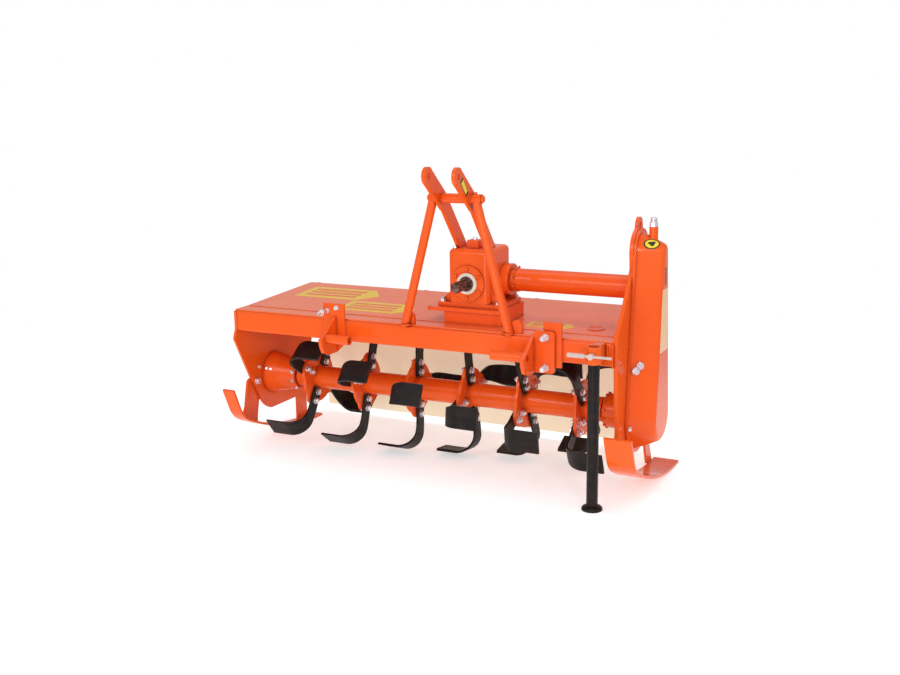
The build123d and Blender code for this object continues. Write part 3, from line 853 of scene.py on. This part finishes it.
fold = []
before, after = bodyBeads["foldEnds"]
for x in range(int(deckLow.x) + before, int(deckHigh.x) - after, bodyBeads["foldStep"]):
    fold.append(seat("deck_sheet", (x, beamHigh.y - bodyBeads["foldIn"], overDeck), toGround)[0])
seams.bead(fold, bodyBeads["fold"])
for x in (ends("left_side_plate")[1].x + proud, ends("right_side_plate")[0].x - proud):
    frontBead((x, beamLow.z), (x, beamHigh.z), bodyBeads["plate"])
    under = beamLow.z - proud
    seams.bead(line((x, beamLow.y, under), (x, beamHigh.y, under)), bodyBeads["plate"])
for name in ("link_base_plate_left", "link_base_plate_right"):
    for corner in ends(name):
        bottom = (corner.x, beamLow.z + bodyBeads["bracketInset"])
        top = (corner.x, beamHigh.z - bodyBeads["bracketInset"])
        frontBead(bottom, top, bodyBeads["bracket"])
for x, y in bodyBeads["strutFeet"]:
    centre = (x, y, beamHigh.z + bodyBeads["strutRise"])
    seams.collar(centre, toTop, bodyBeads["strutRound"], bodyBeads["strut"])
for x in bodyBeads["crossX"]:
    centre = (x, crossLow.y + bodyBeads["crossIn"], crossHeight)
    seams.collar(centre, toRight, bodyBeads["crossRound"], bodyBeads["cross"])
bottom, top = (socketLow.z + above for above in bodyBeads["socketHeights"])
left, right = socketLow.x + bodyBeads["socketInset"], socketHigh.x - bodyBeads["socketInset"]
for z in (bottom, top):
    frontBead((left, z), (right, z), bodyBeads["socket"])
for side in (-1, 1):
    x = (socketLow.x + socketHigh.x) / 2 + side * bodyBeads["socketHalf"]
    frontBead((x, bottom), (x, top), bodyBeads["socketSide"])

# beads round the side tube's two ends and the left bearing's hub
roundBeads = {
    # inset from the end, radius of the tube, radius of the bead
    "case": (2, 37.0, 3.4),
    "gearbox": (15, 37.2, 3.0),
    "hub": (22, 51.0, 1.6),
}
sideLow, sideHigh = ends("side_tube")
sideHeight = (sideLow.z + sideHigh.z) / 2
for key, end, inward, height in (
    ("case", sideHigh.x, -1, sideHeight),
    ("gearbox", sideLow.x, 1, sideHeight),
    ("hub", hubHigh.x, -1, axisHeight),
):
    inset, tubeRadius, radius = roundBeads[key]
    seams.collar((end + inward * inset, 0, height), toRight, tubeRadius, radius)
seams.finish("bodySeams", "frame", "orange_paint")
print("body welded")

# the gearbox: bolts of its input cap, side flange, lid, feet and shoulders
gearboxBolts = {
    "cap": (6, 47, 10.0),  # count, radius of the ring, width across the flats
    "flange": (8, 41, 8.0),
    "flangeInset": 14,
    "lid": 13.0,
    "feet": 17.0,
    "feetInset": (16, 14, 16),  # at both sides, at the front, at the back
    "feetAbove": 34,
    "shoulders": ((82, -100), (196, -100)),
    "shoulder": 12.0,
}
capLow, capHigh = ends("input_cap")
lidLow, lidHigh = ends("gearbox_lid")
boxLow, boxHigh = ends("gearbox_housing")
driveX = (capLow.x + capHigh.x) / 2
driveHeight = (capLow.z + capHigh.z) / 2
gearBolts = Shape()
paintedBolts = Shape()
count, reach, across = gearboxBolts["cap"]
for i in range(count):
    angle = tau * (i + 0.5) / count
    place = (driveX + reach * cos(angle), capLow.y, driveHeight + reach * sin(angle))
    paintedBolts.bolt(place, toFront, across, angle)
count, reach, across = gearboxBolts["flange"]
for i in range(count):
    angle = tau * (i + 0.5) / count
    x = sideLow.x + gearboxBolts["flangeInset"]
    place = (x, reach * cos(angle), sideHeight + reach * sin(angle))
    paintedBolts.bolt(place, toRight, across, angle)
lidMiddle = ((lidLow.x + lidHigh.x) / 2, (lidLow.y + lidHigh.y) / 2, lidHigh.z)
gearBolts.bolt(lidMiddle, toTop, gearboxBolts["lid"])
aside, fromFront, fromBack = gearboxBolts["feetInset"]
overFeet = ends("gearbox_pedestal")[1].z + gearboxBolts["feetAbove"]
for x in (boxLow.x + aside, boxHigh.x - aside):
    for y in (boxLow.y + fromFront, boxHigh.y - fromBack):
        place = seat("gearbox_housing", (x, y, overFeet), toGround)[0]
        gearBolts.nut(place, toTop, gearboxBolts["feet"], x)
for x, y in gearboxBolts["shoulders"]:
    place, normal = seat("gearbox_housing", (x, y, overGearbox), toGround)
    gearBolts.bolt(place, normal, gearboxBolts["shoulder"], x)
gearBolts.finish("gearboxBolts", "frame", "zinc_steel")
paintedBolts.finish("paintedBolts", "frame", "orange_paint")

# the mast: two small bolts on its cross tube, and a knob at each end
mastBolts = {
    "across": 12.0,
    "insets": (22, 14),  # from the right end, from the left end
    "sunk": 0.5,
    "knob": ((0, -2), (10, -2), (12, 1), (12, 5), (9, 8), (0, 9)),
}
bolts = Shape()
crossY = (crossLow.y + crossHigh.y) / 2
fromRight, fromLeft = mastBolts["insets"]
for x in (crossHigh.x - fromRight, crossLow.x + fromLeft):
    bolts.bolt((x, crossY, crossHigh.z - mastBolts["sunk"]), toTop, mastBolts["across"])
for x, out in ((crossHigh.x, toRight), (crossLow.x, toLeft)):
    bolts.turned((x, crossY, crossHeight), out, mastBolts["knob"], sides=28)
bolts.finish("mastBolts", "frame", "orange_paint")

# a bare sticker on the outer face of the mast's right arm
mastSticker = {
    "low": (-243.0, 934.0),  # y and height of its lower end
    "high": (-283.0, 982.0),
    "half": 11.0,
    "inner": 0.76,
    "heights": (0.35, 0.6),  # rim, face
    "beyond": 400,  # x that the outline is cast from
    "steps": 6,
}
low = Vector((mastSticker["beyond"], *mastSticker["low"]))
high = Vector((mastSticker["beyond"], *mastSticker["high"]))
half = (high - low).normalized().cross(Vector(toRight)) * mastSticker["half"]
outline = alongSides([low - half, low + half, high + half, high - half], mastSticker["steps"])
rimHeight, faceHeight = mastSticker["heights"]
for name, scale, height, slot, material in (
    ("mastStickerEdge", 1.0, rimHeight, "black_paint", stickerInk),
    ("mastSticker", mastSticker["inner"], faceHeight, "cream_paint", stickerYellow),
):
    layer = Shape()
    layer.laid("mast_bar_right", outline, toLeft, scale, height)
    layer.finish(name, "frame", slot, material)
print("gearbox and mast dressed")

# the link brackets: a long clamp screw and plain bolts at the left, two studs at the right
bracketBolts = {
    # x, distance in front of the beam, height over the axis, width across the flats
    "left": (
        (-336, 44, 297, 17.0),
        (-336, 8, 297, 14.0),
        (-300, 8, 309, 14.0),
        (-330, 8, 176, 15.0),
    ),
    "screwPlace": (-336, 8, 297),
    "screw": ((0, 0), (6, 0), (6, 54), (5, 56), (0, 56)),
    "rightX": 444,
    "rightHeights": (274, 179),
    "stud": ((0, 0), (6.5, 0), (6.5, 22), (5, 24), (0, 24)),
    "nut": (19.0, 0.2),  # width across the flats, turn
    "head": (14.0, 0.5),
    "headOut": 22,
}
bolts = Shape()
x, out, above = bracketBolts["screwPlace"]
bolts.turned((x, beamLow.y - out, axisHeight + above), toFront, bracketBolts["screw"])
for x, out, above, across in bracketBolts["left"]:
    bolts.bolt((x, beamLow.y - out, axisHeight + above), toFront, across)
for above in bracketBolts["rightHeights"]:
    start = (bracketBolts["rightX"], inFront, axisHeight + above)
    place = seat("link_bracket_right", start, toBack)[0]
    bolts.turned(place, toFront, bracketBolts["stud"])
    bolts.nut(place, toFront, *bracketBolts["nut"])
    bolts.bolt(place + Vector(toFront) * bracketBolts["headOut"], toFront, *bracketBolts["head"])
bolts.finish("bracketBolts", "frame", "zinc_steel")

# weld beads where the skids' struts stand on their runners
skidBeads = {
    "radius": 2.4,
    "step": 3,
    "above": 400,  # height that the paths are cast from
    "left": (-725.0, ((-184, -112), (152, 213))),  # x of the beads, then where each runs
    "right": (653.0, ((-184, -112), (184, 230))),
}
skidSeams = Shape()
for side in ("left", "right"):
    x, runs = skidBeads[side]
    for first, last in runs:
        starts = [(x, y, skidBeads["above"]) for y in range(first, last, skidBeads["step"])]
        path = [seat(f"{side}_skid_runner", start, toGround)[0] for start in starts]
        skidSeams.bead(path, skidBeads["radius"])
skidSeams.finish("skidSeams", "frame", "orange_paint")
print("brackets and skids dressed")

# the camera: place in metres, angles in degrees
viewpoint = {
    "place": (1.646, -3.307, 1.247),
    "turn": 26.33,
    "down": 12.55,
    "roll": -0.84,
    "lens": 44.65,
    "sensor": 36.0,
}
camera = bpy.data.objects.new("camera", bpy.data.cameras.new("camera"))
bpy.context.collection.objects.link(camera)
camera.data.lens = viewpoint["lens"]
camera.data.sensor_width = viewpoint["sensor"]
camera.matrix_world = (
    Matrix.Translation(viewpoint["place"])
    @ Matrix.Rotation(radians(viewpoint["turn"]), 4, "Z")
    @ Matrix.Rotation(radians(90.0 - viewpoint["down"]), 4, "X")
    @ Matrix.Rotation(radians(viewpoint["roll"]), 4, "Z")
)
bpy.context.scene.camera = camera
bpy.context.scene.view_settings.view_transform = "Standard"

lampAim = (0, 0, 0.4)
lamps = (
    # name, place, size, power
    ("keyLamp", (-1.0, -3.8, 2.4), 1.4, 27.5),
    ("lowLamp", (0.5, -3.6, 0.5), 1.4, 25.0),
    ("edgeLamp", (2.4, -2.8, 1.5), 0.3, 13.0),
    ("fillLamp", (3.4, -1.2, 1.9), 1.8, 10.0),
    ("topLamp", (0.2, 0.4, 3.4), 2.2, 23.0),
)
for name, place, size, power in lamps:
    lamp = bpy.data.objects.new(name, bpy.data.lights.new(name, "AREA"))
    lamp.data.size = size
    lamp.data.energy = power
    lamp.location = place
    lamp.rotation_euler = (Vector(lampAim) - Vector(place)).to_track_quat("-Z", "Y").to_euler()
    bpy.context.collection.objects.link(lamp)

# a white room that lights softly, and is seen at full white behind the machine
roomLook = {"tint": colour(1, 1, 1), "light": 0.60, "seen": 1.0}
room = Finish(bpy.data.worlds.new("studio"))


def wall(strength):
    return room.node("ShaderNodeBackground", {}, {"Color": roomLook["tint"], "Strength": strength})


light = wall(roomLook["light"])
seen = wall(roomLook["seen"])
fromCamera = room.node("ShaderNodeLightPath", {}, {}, "Is Camera Ray")
choice = room.node("ShaderNodeMixShader", {}, {0: fromCamera, 1: light, 2: seen})
room.node("ShaderNodeOutputWorld", {}, {"Surface": choice})
bpy.context.scene.world = room.holder

# a paper floor that fades into the room
floorLook = {
    "size": 14.0,
    "tint": colour(0.86, 0.87, 0.88),
    "roughness": 0.9,
    "specular": 0.1,
    "glow": 0.52,  # lifts the paper to the white of the room behind it
    "near": 1.3,
    "far": 2.6,
}
floorMesh = bmesh.new()
bmesh.ops.create_grid(floorMesh, x_segments=1, y_segments=1, size=floorLook["size"])
floorData = bpy.data.meshes.new("floor")
floorMesh.to_mesh(floorData)
floorMesh.free()
floor = bpy.data.objects.new("floor", floorData)
bpy.context.collection.objects.link(floor)
paper = startFinish("floorPaper")
distance = paper.node("ShaderNodeVectorMath", {"operation": "LENGTH"}, {0: paper.place()}, "Value")
uniform = {
    "Base Color": floorLook["tint"],
    "Roughness": floorLook["roughness"],
    "Specular IOR Level": floorLook["specular"],
    "Emission Color": floorLook["tint"],
    "Emission Strength": floorLook["glow"],
}
fade = paper.span(distance, floorLook["far"], floorLook["near"])
floorData.materials.append(paper.done(uniform, {"Alpha": fade}))
print("camera and light set")
